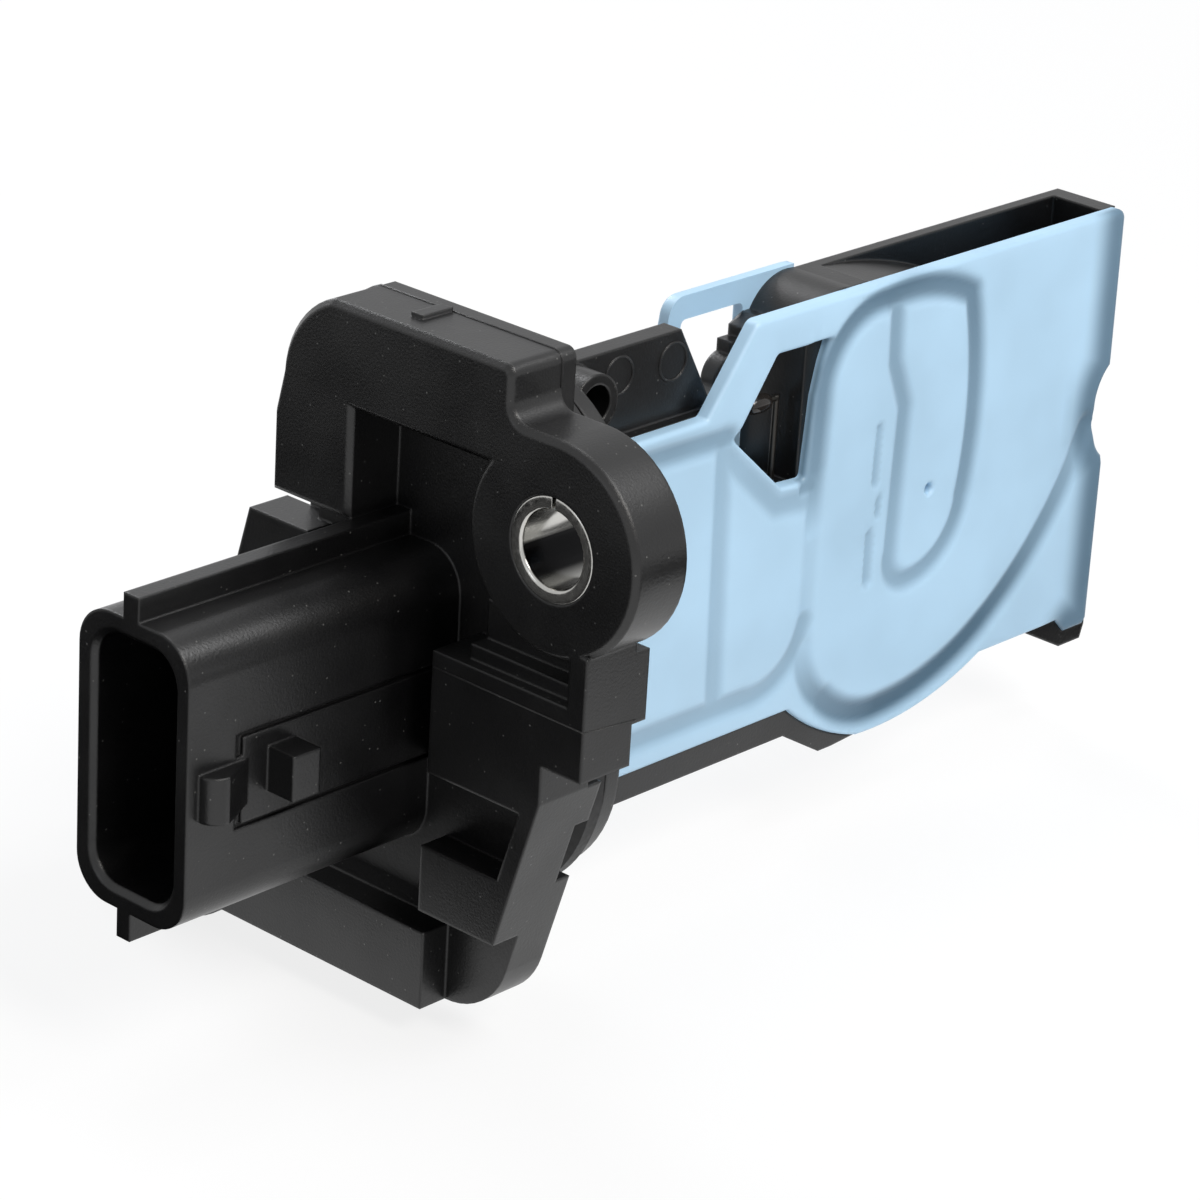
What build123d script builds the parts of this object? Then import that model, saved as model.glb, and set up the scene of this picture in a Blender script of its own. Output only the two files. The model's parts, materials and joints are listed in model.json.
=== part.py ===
from build123d import *
import os

# Slim plug-in mass airflow sensor, in millimetres.
# X is the insertion axis: the connector is at -X and the blade's tip at +X.
# Y is across the thin blade, with the front cover on the -Y side.
# Z is along the air stream, with the bypass inlet facing +Z.
# The origin is on the flange's seal face, at the connector's centre.

# Flange: a thin web with raised blocks, walls and ears on its outer side
flange_depth = 6.2
pad_rise = 1.35
step_rise = 2.35
front_edge = 0.4
cut_size = 80.0
bar_top = 28.0
bar_bottom = 20.7
bar_right = -13.85
bar_corner = 0.8
tab_length = 2.9
tab_width = 1.1
tab_rise = 0.3
tab_y = -3.0
shoulder_start = 3.4
shoulder_z = 21.5
shoulder_lean = 0.7
leg_outer = 8.7
leg_inner = 1.0
leg_bottom = 12.55
screw_y = 18.2
screw_z = 16.4
ear_radius = 7.7
ear_fillet = 1.4
ear_pad_radius = 5.6
block_right = -22.0
block_left = -7.8
block_top = 9.75
block_bottom = 0.65
block_skirt = -3.45
block_front_top = 5.75
block_shelf = 1.0
block_shelf_top = 6.85
block_post = 1.6
block_inset = 2.6
hip_y = 13.4
hip_z = 9.1
hip_width = 6.0
flank_top_y = -18.4
flank_bend_z = -2.2
flank_end_y = -14.8
flank_end_z = -14.2
flange_bottom = -21.8
flange_corner = 6.0
flank_wall = 1.45
box_left = -7.5
box_top = -9.15
keel_right = -8.1
keel_left = 12.6
keel_top = -15.8
notch_depth = 2.2
notch_round = 0.8
upper_notch_top = 3.7
upper_notch_bottom = -2.2
lower_notch_top = -5.5
lower_notch_bottom = -10.3

# Compression bushes in the two ears
bush_outer = 7.5
bush_bore = 5.5
bush_slit = 0.4
bush_edge = 0.25

# Connector shroud with its keys and latch
connector_reach = 20.3
connector_half_width = 5.45
connector_half_height = 10.75
connector_corner = 3.0
connector_wall = 1.5
socket_depth = 16.5
rim_edge = 0.4
top_key_centre = 0.35
top_key_width = 1.5
top_key_height = 1.8
foot_key_centre = 0.6
foot_key_width = 1.3
foot_key_height = 2.1
latch_start = 4.4
latch_top = 3.0
latch_bottom = -3.65
latch_groove = 0.35
latch_slot_length = 0.6
latch_slot_height = 1.5
ramp_place = 1.2
ramp_length = 4.3
ramp_height = 1.5
ramp_width = 3.4
ramp_z = -0.5
stop_place = 7.3
stop_length = 2.5
stop_height = 2.5
stop_width = 3.3
stop_z = -0.1

# Terminals
terminal_count = 5
terminal_pitch = 3.3
terminal_width = 1.0
terminal_thickness = 0.6
terminal_setback = 5.0
terminal_taper = 0.25
terminal_overlap = 2.0

# Sealing neck and its ring
neck_radius = 11.0
neck_length = 10.2
neck_top_centre = 10.55
neck_bottom_centre = -7.2
ring_cord = 2.6
ring_place = 7.4
ring_proud = 0.6
ring_edge = 0.7
groove_clearance = 0.1

# Blade: a moulded core between two covers
blade_thickness = 8.1
cover_thickness = 1.15
back_wall = 1.0
back_top = 20.8
back_drop = 0.9
back_slant_bottom_x = 27.4
back_slant_top_x = 28.6
back_corner = 1.6
cover_gap = 0.6
root_top = 14.0
root_bottom = -14.9
cover_bottom = -12.65
rail_drop = 0.4
blade_top = 20.5
slant_bottom_x = 25.5
slant_top_x = 30.4
tip_x = 75.2
tip_lean = 0.6
tip_wall = 1.8
tip_bottom = -14.4
tip_corner = 0.8
bulge_start = 37.4
bulge_left_x = 42.4
bulge_left_z = -15.9
bulge_low_x = 46.2
bulge_low = -17.3
bulge_right_x = 54.4
bulge_right_z = -16.75
bulge_end = 61.3
rail_low_x = 41.9
rail_low = -17.5
rail_flat = 1.6
lug_start = 71.6
lug_low = -15.7
foot_start = 67.6
foot_low_x = 72.6
foot_low = -17.0
nick_low = -0.8
nick_high = 6.9
nick_depth = 1.6
nick_slope = 2.2

# Recess for the thermistor, and the windows over it
recess_left = 28.5
recess_right = 37.5
recess_floor = 5.8
nose_low = 18.2
nose_mid_x = 39.3
nose_mid_z = 20.0
crest_x = 42.4
window_margin = 0.4
window_top = 17.4
window_top_x = 33.1
window_left_z = 11.5
window_bottom = 6.5
window_bottom_x = 34.6
window_lean = 1.4
window_corner = 0.4
back_window_top = 18.9
back_window_top_x = 29.8
back_window_right = 36.7

# Arm beside the recess and its hollow boss
arm_front = -1.9
arm_thickness = 1.7
arm_top = 20.75
arm_end_top = 24.3
arm_end_bottom = 28.2
boss_x = 12.6
boss_z = 18.3
boss_outer = 4.6
boss_bore = 3.0
boss_reach = 2.6

# Stepped bracket on the nose's far side, and the guard bar below it
bracket_left = 34.0
bracket_step = 35.2
bracket_right = 36.7
bracket_bottom = 15.2
bracket_low = 16.65
bracket_high = 17.5
bracket_width = 1.4
bar_thickness = 0.7
bar_bow_x = 32.5
bar_bow_z = 14.3
bar_foot_x = 33.8
bar_foot_z = 12.2

# Circuit chamber, side pocket and air duct in the core
chamber_left = 12.6
chamber_right = 27.0
chamber_top = 12.0
chamber_bottom = -11.2
chamber_floor = 1.1
side_left = 28.8
side_right = 36.4
side_top = 4.3
side_bottom = -11.2
duct_left = 38.7
duct_top_x = 44.4
duct_top = 18.6
duct_wall = 0.8
duct_elbow_x = 66.6
duct_elbow_z = -5.9
duct_heel_x = 60.8
duct_heel_z = -12.2
duct_low_x = 52.5
duct_low = -15.2
duct_toe_z = -7.5
duct_shoulder_z = 12.6
loop_right = 58.6
loop_wall = 1.5
loop_bottom = -5.4
divider_x = 46.9
divider_top = 12.0
outlet_low = 0.6
outlet_high = 5.4
port_x = 52.6
port_z = 2.2
port_width = 4.6
port_height = 4.4
port_corner = 1.0

# Relief on the covers
relief = 0.35
relief_width = 1.3
relief_inset = 3.6
loop_top_x = 46.9
loop_top = 19.3
panel_left = 28.4
panel_start = 12.4
panel_top = 4.9
panel_bottom = -10.1
pin_hole = 0.9
pin_hole_x = 52.8
pin_hole_z = 2.1

# Circuit
board_gap = 0.3
board_length = 12.4
board_thickness = 0.8
control_chip_size = 6.4
control_chip_height = 1.3
control_chip_x = 18.4
control_chip_z = 5.0
carrier_width = 5.0
carrier_thickness = 1.4
carrier_root = 2.6
carrier_end = 45.2
carrier_round = 0.6
flow_chip_length = 2.6
flow_chip_width = 3.4
flow_chip_thickness = 0.4
flow_chip_x = 42.6
capacitor_count = 3
capacitor_length = 2.0
capacitor_width = 1.25
capacitor_height = 1.0
capacitor_pitch = 2.4
capacitor_margin = 0.8

# Thermistor on its two leads
lead_diameter = 0.5
lead_y = -1.2
lead_link = 0.9
bead_diameter = 1.5
bead_length = 2.4
bead_edge = 0.4
bead_x = 34.4
bead_z = 12.45

half_blade = blade_thickness / 2
half_core = half_blade - cover_thickness
flange_front = -flange_depth
body_rear = -pad_rise
step_front = body_rear - step_rise
duct_back = half_core - back_wall
connector_front = flange_front - connector_reach
ear_top = screw_z + ear_radius
board_front = chamber_floor - board_thickness
cover_left = neck_length + cover_gap
window_left = recess_left + window_margin
lug_end = lug_start + 1.3
bead_left = bead_x - bead_length / 2
bead_right = bead_x + bead_length / 2
lower_lead_x = bead_right + lead_link
window_right = recess_right - window_margin
flank_slope = (flank_end_y - flank_top_y) / (flank_end_z - flank_bend_z)
ears = [(-screw_y, screw_z), (screw_y, -screw_z)]
hip_corner = (screw_y - 0.6, -screw_z + ear_radius + 2.6)
os.makedirs("parts", exist_ok=True)


def tip_edge(z):
    """X of the blade's leaning end at a height."""
    return tip_x + tip_lean * (blade_top - z) / (blade_top - tip_bottom)


def flank(z):
    """Y of the flange's slanted flank at a height."""
    return flank_top_y + flank_slope * (z - flank_bend_z)


def side_plane(y):
    """Plane for a profile in X and Z that is extruded towards -Y from y."""
    return Plane.XZ.offset(-y)


def oblong(radius):
    """The neck's section at a radius: an oblong, round at its top and bottom."""
    centre = (neck_top_centre + neck_bottom_centre) / 2
    with BuildSketch() as shape:
        with Locations((0, centre)):
            SlotCenterToCenter(neck_top_centre - neck_bottom_centre, 2 * radius, rotation=90)
    return shape.sketch


# Outline of the flange in Y and Z, without its ears
with BuildSketch() as plate_shape:
    with BuildLine():
        shoulder = ThreePointArc(
            (shoulder_start, bar_top),
            (leg_outer - 2.4, bar_top - 2.1),
            (leg_outer - shoulder_lean, shoulder_z),
        )
        Polyline(
            shoulder @ 1,
            (leg_outer, shoulder_z - 3),
            (leg_outer, hip_z),
            (hip_y, hip_z),
            hip_corner,
            (screw_y, -screw_z),
            (keel_left, flange_bottom),
            (flank(flange_bottom), flange_bottom),
            (flank_top_y, flank_bend_z),
            (flank_top_y, block_bottom),
            (block_right, block_bottom),
            (block_right, block_top),
            (bar_right, block_top),
            (bar_right, bar_top),
            shoulder @ 0,
        )
    make_face()
    fillet(plate_shape.vertices().sort_by_distance((flank(flange_bottom), flange_bottom))[0], flange_corner)
    fillet(plate_shape.vertices().sort_by_distance((bar_right, bar_top))[0], bar_corner)

# Bar and leg around the connector's upper end, with the upper ear
with BuildSketch() as bar_shape:
    add(plate_shape.sketch)
    with Locations((leg_inner, bar_bottom)):
        Rectangle(cut_size, cut_size, align=(Align.MAX, Align.MAX), mode=Mode.SUBTRACT)
    with Locations((0, leg_bottom)):
        Rectangle(cut_size, cut_size, align=(Align.CENTER, Align.MAX), mode=Mode.SUBTRACT)
    with Locations((bar_right, ear_top)):
        Rectangle(bar_right + screw_y, ear_top - screw_z, align=Align.MAX)
    fillet(bar_shape.vertices().sort_by_distance((bar_right, ear_top))[0], ear_fillet)
    with Locations(ears[0]):
        Circle(ear_radius)

def cover_outline(slant_bottom, slant_top, top, corner):
    """Outline of a cover in X and Z, with its own upper left end."""
    with BuildSketch() as shape:
        with BuildLine():
            bulge_left = ThreePointArc(
                (bulge_start, cover_bottom),
                (bulge_left_x, bulge_left_z),
                (bulge_low_x, bulge_low),
            )
            bulge_right = ThreePointArc(
                bulge_left @ 1,
                (bulge_right_x, bulge_right_z),
                (bulge_end, tip_bottom),
            )
            Polyline(
                bulge_right @ 1,
                (lug_start, tip_bottom),
                (lug_end, lug_low),
                (tip_edge(lug_low), lug_low),
                (tip_edge(nick_low), nick_low),
                (tip_edge(nick_low) - nick_depth, nick_low + nick_slope),
                (tip_edge(nick_high) - nick_depth, nick_high - nick_slope),
                (tip_edge(nick_high), nick_high),
                (tip_x, top),
                (slant_top, top),
                (slant_bottom, root_top),
                (cover_left, root_top),
                (cover_left, cover_bottom),
                bulge_left @ 0,
            )
        make_face()
        fillet(shape.vertices().sort_by_distance((tip_x, top))[0], tip_corner)
        fillet(shape.vertices().sort_by_distance((slant_top, top))[0], corner)
    return shape.sketch


cover_shape = cover_outline(slant_bottom_x, slant_top_x, blade_top, tip_corner)

# Window over the thermistor in the front cover
with BuildSketch() as window_shape:
    with BuildLine():
        edge = ThreePointArc(
            (window_right + window_lean, window_top),
            (window_right + 0.1, window_top - 4.6),
            (window_right, window_bottom),
        )
        Polyline(
            edge @ 1,
            (window_bottom_x, window_bottom),
            (window_left, window_left_z),
            (window_top_x, window_top),
            edge @ 0,
        )
    make_face()
    fillet(window_shape.vertices(), window_corner)

# Larger window in the back cover
with BuildSketch() as back_window_shape:
    with BuildLine():
        Polyline(
            (back_window_top_x, back_window_top),
            (back_window_right, back_window_top),
            (back_window_right, window_bottom),
            (window_bottom_x, window_bottom),
            (window_left, window_left_z),
            (back_window_top_x, back_window_top),
        )
    make_face()
    fillet(back_window_shape.vertices(), window_corner)

# Tip of the core in X and Z: nose, crest, inlet side and foot, with no duct yet
with BuildSketch() as tip_shape:
    with BuildLine():
        nose = ThreePointArc(
            (recess_right, nose_low),
            (nose_mid_x, nose_mid_z),
            (crest_x, blade_top),
        )
        rail = ThreePointArc(
            (bulge_low_x, bulge_low),
            (bulge_right_x, bulge_right_z),
            (bulge_end, tip_bottom),
        )
        Polyline(
            nose @ 1,
            (tip_x, blade_top),
            (tip_edge(nick_high), nick_high),
            (tip_edge(nick_high) - nick_depth, nick_high - nick_slope),
            (tip_edge(nick_low) - nick_depth, nick_low + nick_slope),
            (tip_edge(nick_low), nick_low),
            (tip_edge(foot_low), foot_low + 1.2),
            (tip_edge(foot_low) - 0.4, foot_low),
            (foot_low_x, foot_low),
            (foot_start, tip_bottom),
            rail @ 1,
        )
        Polyline(
            rail @ 0,
            (rail_low_x + rail_flat, rail_low),
            (rail_low_x, rail_low),
            (bulge_start, root_bottom),
            (recess_right, root_bottom),
            nose @ 0,
        )
    make_face()

# Air duct in X and Z: inlet at the top, main passage, and the loop to its left
with BuildSketch() as duct_shape:
    with BuildLine():
        inner_end = tip_x - tip_wall
        corner = Polyline(
            (duct_top_x, duct_top),
            (duct_top_x, blade_top + 1),
            (inner_end, blade_top + 1),
            (inner_end, nick_high + duct_wall),
            (inner_end - nick_depth, nick_high - nick_slope + duct_wall),
            (inner_end - nick_depth, nick_low + nick_slope - duct_wall),
            (duct_elbow_x, duct_elbow_z),
        )
        heel = ThreePointArc(corner @ 1, (duct_heel_x, duct_heel_z), (duct_low_x, duct_low))
        toe = ThreePointArc(heel @ 1, (42.2, -13.4), (duct_left, duct_toe_z))
        rise = Line(toe @ 1, (duct_left, duct_shoulder_z))
        ThreePointArc(rise @ 1, (40.5, 16.6), (duct_top_x, duct_top))
    make_face()

# Hooked wall that the loop turns around: ramp, right side, bottom and divider
with BuildSketch() as hook_shape:
    with BuildLine():
        ramp = ThreePointArc((crest_x, blade_top), (52.9, 19.1), (loop_right, 17.1))
        right = ThreePointArc(ramp @ 1, (loop_right + 0.3, 9.0), (57.3, 1.0))
        under = ThreePointArc(right @ 1, (55.2, -3.5), (51.4, loop_bottom))
        turn = ThreePointArc(under @ 1, (47.8, -4.6), (divider_x, -2.0))
        divider = Polyline(
            turn @ 1,
            (divider_x, divider_top),
            (divider_x + loop_wall, divider_top),
            (divider_x + loop_wall, -2.0),
        )
        inner_turn = ThreePointArc(divider @ 1, (49.4, -3.6), (51.3, loop_bottom + loop_wall))
        inner_under = ThreePointArc(inner_turn @ 1, (54.2, -2.4), (55.9, 1.4))
        inner_right = ThreePointArc(inner_under @ 1, (57.4, 9.0), (57.0, 15.6))
        ceiling = ThreePointArc(inner_right @ 1, (51.6, 17.6), (duct_top_x, duct_top + 0.1))
        Line(ceiling @ 1, ramp @ 0)
    make_face()

# Bracket and guard bar in X and Z
with BuildSketch() as bracket_shape:
    with BuildLine():
        Polyline(
            (nose_mid_x, nose_low),
            (bracket_right, nose_low),
            (bracket_step, bracket_high),
            (bracket_step, bracket_low),
            (bracket_left, bracket_low),
            (bracket_left, bracket_bottom),
            (nose_mid_x, bracket_bottom),
            (nose_mid_x, nose_low),
        )
    make_face()
with BuildSketch() as guard_shape:
    with BuildLine():
        guard = ThreePointArc(
            (bracket_left + bar_thickness, bracket_bottom + 0.1),
            (bar_bow_x + bar_thickness / 2, bar_bow_z),
            (bar_foot_x, bar_foot_z),
        )
        Line(guard @ 1, (bar_foot_x, recess_floor))
    trace(line_width=bar_thickness)

# Relief of the front cover in X and Z: one groove that spirals in over the duct and the loop
with BuildSketch() as duct_relief:
    with BuildLine():
        toe = ThreePointArc(
            (tip_x - relief_inset, nick_low + 0.4),
            (duct_elbow_x + relief_width, duct_elbow_z + 0.4),
            (duct_heel_x + 0.5, duct_heel_z + 0.8),
        )
        heel = ThreePointArc(toe @ 1, (55.9, -14.1), (48.8, duct_low - 0.3))
        turn = ThreePointArc(heel @ 1, (41.2, -12.9), (duct_left, duct_toe_z - 0.4))
        rise = Line(turn @ 1, (duct_left, duct_shoulder_z))
        head = ThreePointArc(rise @ 1, (40.9, 17.4), (46.0, loop_top))
        top = ThreePointArc(head @ 1, (51.4, loop_top - 0.1), (56.4, 17.6))
        fall = ThreePointArc(top @ 1, (loop_right - 0.9, 9.0), (57.0, 0.5))
        low = ThreePointArc(fall @ 1, (54.8, -3.7), (50.9, -5.4))
        back = ThreePointArc(low @ 1, (49.2, -4.7), (48.5, -2.5))
        Polyline(back @ 1, (48.6, 10.8), (loop_top_x, 14.4), (loop_top_x, loop_top - relief_width))
    trace(line_width=relief_width)

# Relief round the two panels on the left: bars above, between and under the window, and a low one
with BuildSketch() as panel_relief:
    with BuildLine():
        Line((cover_left + relief_width, panel_start), (window_left, panel_start - relief_width / 2))
    trace(line_width=relief_width)
with BuildSketch() as post_relief:
    with BuildLine():
        Line((panel_left - 0.9, panel_start), (panel_left, panel_bottom))
    trace(line_width=relief_width)
with BuildSketch() as frame_relief:
    with BuildLine():
        Polyline(
            (panel_left - 0.4, window_left_z - 1.0),
            (window_bottom_x - 0.3, panel_top),
            (duct_left, panel_top),
        )
    trace(line_width=relief_width)
with BuildSketch() as low_relief:
    with BuildLine():
        floor_line = Line((cover_left + relief_width, panel_bottom), (32.0, panel_bottom))
        ThreePointArc(floor_line @ 1, (36.2, -9.1), (duct_left, -5.4))
    trace(line_width=relief_width)

ring_inner = neck_radius + ring_proud - ring_cord
terminal_start = connector_front + terminal_setback
terminal_end = chamber_left + terminal_overlap
terminal_rows = [terminal_pitch * (i - (terminal_count - 1) / 2) for i in range(terminal_count)]
socket_floor = connector_front + socket_depth
board_left = chamber_left + board_gap
board_right = board_left + board_length
capacitor_low = chamber_bottom + board_gap + capacitor_margin + capacitor_width / 2
carrier_start = board_right - carrier_root
carrier_back = board_front
carrier_front = carrier_back - carrier_thickness

# Housing: connector, flange, neck and blade core in one moulding
with BuildPart() as housing:
    # Bar, leg and ears, with eased front edges
    with BuildSketch(Plane.YZ.offset(flange_front)):
        add(bar_shape.sketch)
        with Locations(ears[1]):
            Circle(ear_radius)
    extrude(amount=flange_depth - pad_rise)
    chamfer(housing.faces().filter_by(Axis.X).group_by(Axis.X)[0].edges(), front_edge)
    # Mould tab on top of the bar
    with BuildSketch(Plane.XY.offset(bar_top)):
        with Locations((body_rear, tab_y)):
            Rectangle(tab_length, tab_width, align=(Align.MAX, Align.CENTER))
    extrude(amount=tab_rise)
    # Pads of the seal face, notched along the flank
    with BuildSketch(Plane.YZ.offset(body_rear)):
        add(plate_shape.sketch)
        for notch_top, notch_bottom in (
            (upper_notch_top, upper_notch_bottom),
            (lower_notch_top, lower_notch_bottom),
            (block_top, block_top - notch_round),
        ):
            with Locations((block_right, notch_bottom)):
                Rectangle(
                    flank(notch_bottom) + notch_depth - block_right,
                    notch_top - notch_bottom,
                    align=Align.MIN,
                    mode=Mode.SUBTRACT,
                )
        with Locations(*ears):
            Circle(ear_pad_radius)
    extrude(amount=pad_rise)
    # Base plate below the connector, one step lower than the walls on it
    with BuildSketch(Plane.YZ.offset(step_front)):
        add(plate_shape.sketch)
        with Locations((0, block_skirt)):
            Rectangle(cut_size, cut_size, align=(Align.CENTER, Align.MIN), mode=Mode.SUBTRACT)
        with BuildLine():
            Polyline(
                (hip_y, hip_z),
                (hip_y - hip_width, hip_z),
                (hip_y - hip_width, -screw_z),
                (screw_y, -screw_z),
                hip_corner,
                (hip_y, hip_z),
            )
        make_face()
    extrude(amount=step_rise)
    # Block below the upper ear, stepped back to the floor of the recess
    with BuildSketch(Plane.YZ.offset(flange_front)):
        with Locations((block_right, block_bottom)):
            Rectangle(block_left - block_right, block_front_top - block_bottom, align=Align.MIN)
            Rectangle(block_post, block_top - block_bottom, align=Align.MIN)
        with Locations((flank(block_skirt), block_skirt)):
            Rectangle(block_left - flank(block_skirt), block_bottom - block_skirt, align=Align.MIN)
    extrude(amount=flange_depth - pad_rise)
    with BuildSketch(Plane.YZ.offset(flange_front + block_shelf)):
        with Locations((block_right, block_bottom)):
            Rectangle(block_left - block_right - block_inset, block_shelf_top - block_bottom, align=Align.MIN)
    extrude(amount=flange_depth - pad_rise - block_shelf)
    with BuildSketch(Plane.YZ.offset(step_front)):
        with Locations((block_right, block_bottom)):
            Rectangle(block_left - block_right - block_inset, block_top - block_bottom, align=Align.MIN)
    extrude(amount=step_rise)
    # Slanted wall along the flank with its box, and the keel at the bottom
    with BuildSketch(Plane.YZ.offset(flange_front)):
        with BuildLine():
            Polyline(
                (flank_top_y, block_bottom),
                (flank_top_y, flank_bend_z),
                (flank_end_y, flank_end_z),
                (box_left, flank_end_z),
                (box_left, box_top),
                (flank(box_top) + flank_wall, box_top),
                (flank(block_skirt) + flank_wall, block_skirt),
                (flank_top_y + flank_wall, block_bottom),
                (flank_top_y, block_bottom),
            )
        make_face()
        with Locations(((keel_left + keel_right) / 2, flange_bottom)):
            Rectangle(
                keel_left - keel_right, keel_top - flange_bottom, align=(Align.CENTER, Align.MIN)
            )
    extrude(amount=flange_depth - pad_rise)
    # Screw holes for the bushes
    with BuildSketch(Plane.YZ.offset(flange_front)):
        with Locations(*ears):
            Circle(bush_outer / 2)
    extrude(amount=flange_depth, mode=Mode.SUBTRACT)
    # Connector shroud with its two keys
    with BuildSketch(Plane.YZ.offset(connector_front)):
        RectangleRounded(2 * connector_half_width, 2 * connector_half_height, connector_corner)
        with Locations((top_key_centre, connector_half_height - 1)):
            Rectangle(top_key_width, top_key_height + 1, align=(Align.CENTER, Align.MIN))
        with Locations((foot_key_centre, 1 - connector_half_height)):
            Rectangle(foot_key_width, foot_key_height + 1, align=(Align.CENTER, Align.MAX))
    extrude(amount=-connector_front)
    with BuildSketch(Plane.YZ.offset(connector_front)):
        RectangleRounded(
            2 * (connector_half_width - connector_wall),
            2 * (connector_half_height - connector_wall),
            connector_corner - connector_wall / 2,
        )
    extrude(amount=socket_depth, mode=Mode.SUBTRACT)
    chamfer(housing.faces().filter_by(Axis.X).sort_by(Axis.X)[0].inner_wires()[0].edges(), rim_edge)
    # Latch ramp and stop on the shroud's front side
    with BuildSketch(Plane.XY.offset(ramp_z - ramp_width / 2)):
        with BuildLine():
            ramp_start = connector_front + ramp_place
            nose_arc = ThreePointArc(
                (ramp_start, 0.5 - connector_half_width),
                (ramp_start + 0.2, -connector_half_width - 0.7 * ramp_height),
                (ramp_start + 1.3, -connector_half_width - ramp_height),
            )
            Polyline(
                nose_arc @ 1,
                (ramp_start + ramp_length, -connector_half_width),
                (ramp_start + ramp_length, 0.5 - connector_half_width),
                nose_arc @ 0,
            )
        make_face()
    extrude(amount=ramp_width)
    with BuildSketch(Plane.XY.offset(stop_z - stop_width / 2)):
        with Locations((connector_front + stop_place, 0.5 - connector_half_width)):
            Rectangle(stop_length, stop_height + 0.5, align=(Align.MIN, Align.MAX))
    extrude(amount=stop_width)
    # Grooves round the latch panel
    with BuildSketch(side_plane(-connector_half_width + latch_groove)):
        for groove_z in (latch_top, latch_bottom):
            with Locations((connector_front + latch_start, groove_z)):
                Rectangle(
                    body_rear - connector_front - latch_start,
                    latch_groove,
                    align=(Align.MIN, Align.CENTER),
                )
        with Locations((connector_front + latch_start, latch_top)):
            Rectangle(latch_slot_length, latch_slot_height, align=(Align.MIN, Align.MAX))
        with Locations((connector_front + latch_start, latch_bottom)):
            Rectangle(latch_slot_length, latch_slot_height, align=(Align.MIN, Align.MIN))
    extrude(amount=2 * latch_groove, mode=Mode.SUBTRACT)
    # Neck with the groove for the sealing ring
    with BuildSketch(Plane.YZ):
        add(oblong(neck_radius))
    extrude(amount=neck_length)
    with BuildSketch(Plane.YZ.offset(ring_place - ring_cord / 2 - groove_clearance)):
        add(oblong(neck_radius + 1))
        add(oblong(ring_inner), mode=Mode.SUBTRACT)
    extrude(amount=ring_cord + 2 * groove_clearance, mode=Mode.SUBTRACT)
    # Root of the blade core
    with BuildSketch(side_plane(half_core)):
        with BuildLine():
            Polyline(
                (neck_length - 1, root_bottom),
                (recess_right + 1, root_bottom),
                (recess_right + 1, recess_floor),
                (recess_left, recess_floor),
                (recess_left, root_top),
                (neck_length - 1, root_top),
                (neck_length - 1, root_bottom),
            )
        make_face()
    extrude(amount=2 * half_core)
    # Tip of the core
    with BuildSketch(side_plane(half_core)):
        add(tip_shape.sketch)
    extrude(amount=2 * half_core)
    # Rail that stands out below the covers
    with BuildSketch(side_plane(half_blade - rail_drop)):
        add(tip_shape.sketch)
        with Locations((neck_length - 1, root_bottom)):
            Rectangle(recess_right + 2 - neck_length, cover_bottom - root_bottom, align=Align.MIN)
        add(cover_shape, mode=Mode.SUBTRACT)
        with Locations((0, cover_bottom)):
            Rectangle(2 * cut_size, cut_size, align=(Align.CENTER, Align.MIN), mode=Mode.SUBTRACT)
    extrude(amount=2 * (half_blade - rail_drop))
    # Arm with its hollow boss
    with BuildSketch(side_plane(arm_front + arm_thickness)):
        with BuildLine():
            Polyline(
                (neck_length - 1, root_top - 1),
                (arm_end_bottom, root_top - 1),
                (arm_end_bottom, root_top),
                (arm_end_top, arm_top),
                (neck_length - 1, arm_top),
                (neck_length - 1, root_top - 1),
            )
        make_face()
    extrude(amount=arm_thickness)
    with BuildSketch(side_plane(arm_front)):
        with Locations((boss_x, boss_z)):
            Circle(boss_outer / 2)
            Circle(boss_bore / 2, mode=Mode.SUBTRACT)
    extrude(amount=boss_reach)
    # Bracket and guard bar on the far side
    with BuildSketch(side_plane(half_core)):
        add(bracket_shape.sketch)
        add(guard_shape.sketch)
    extrude(amount=bracket_width)
    # Circuit chamber and side pocket
    with BuildSketch(side_plane(chamber_floor)):
        with Locations((chamber_left, chamber_bottom)):
            Rectangle(chamber_right - chamber_left, chamber_top - chamber_bottom, align=Align.MIN)
        with Locations((side_left, side_bottom)):
            Rectangle(side_right - side_left, side_top - side_bottom, align=Align.MIN)
    extrude(amount=chamber_floor + half_core, mode=Mode.SUBTRACT)
    # Air duct in front of the back wall, with the hooked wall standing in it
    with BuildSketch(side_plane(duct_back)):
        add(duct_shape.sketch)
        add(hook_shape.sketch, mode=Mode.SUBTRACT)
    extrude(amount=duct_back + half_core, mode=Mode.SUBTRACT)
    # Outlet in the blade's end and the loop's port in the back wall
    with BuildSketch(side_plane(duct_back)):
        with Locations((tip_x + 1, outlet_low)):
            Rectangle(nick_depth + tip_wall + 2, outlet_high - outlet_low, align=(Align.MAX, Align.MIN))
    extrude(amount=duct_back + half_core, mode=Mode.SUBTRACT)
    with BuildSketch(side_plane(half_core)):
        with Locations((port_x, port_z)):
            RectangleRounded(port_width, port_height, port_corner)
    extrude(amount=back_wall, mode=Mode.SUBTRACT)
    # Slots that hold the terminals and the flow chip's carrier
    with BuildSketch(side_plane(terminal_thickness / 2)):
        for row in terminal_rows:
            with Locations((socket_floor, row)):
                Rectangle(chamber_left - socket_floor, terminal_width, align=(Align.MIN, Align.CENTER))
    extrude(amount=terminal_thickness, mode=Mode.SUBTRACT)
    with BuildSketch(side_plane(carrier_back)):
        with Locations((chamber_right, 0)):
            Rectangle(duct_left - chamber_right, carrier_width, align=(Align.MIN, Align.CENTER))
    extrude(amount=carrier_thickness, mode=Mode.SUBTRACT)
housing.part.label = "housing"
export_step(housing.part, "parts/housing.step")

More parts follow.
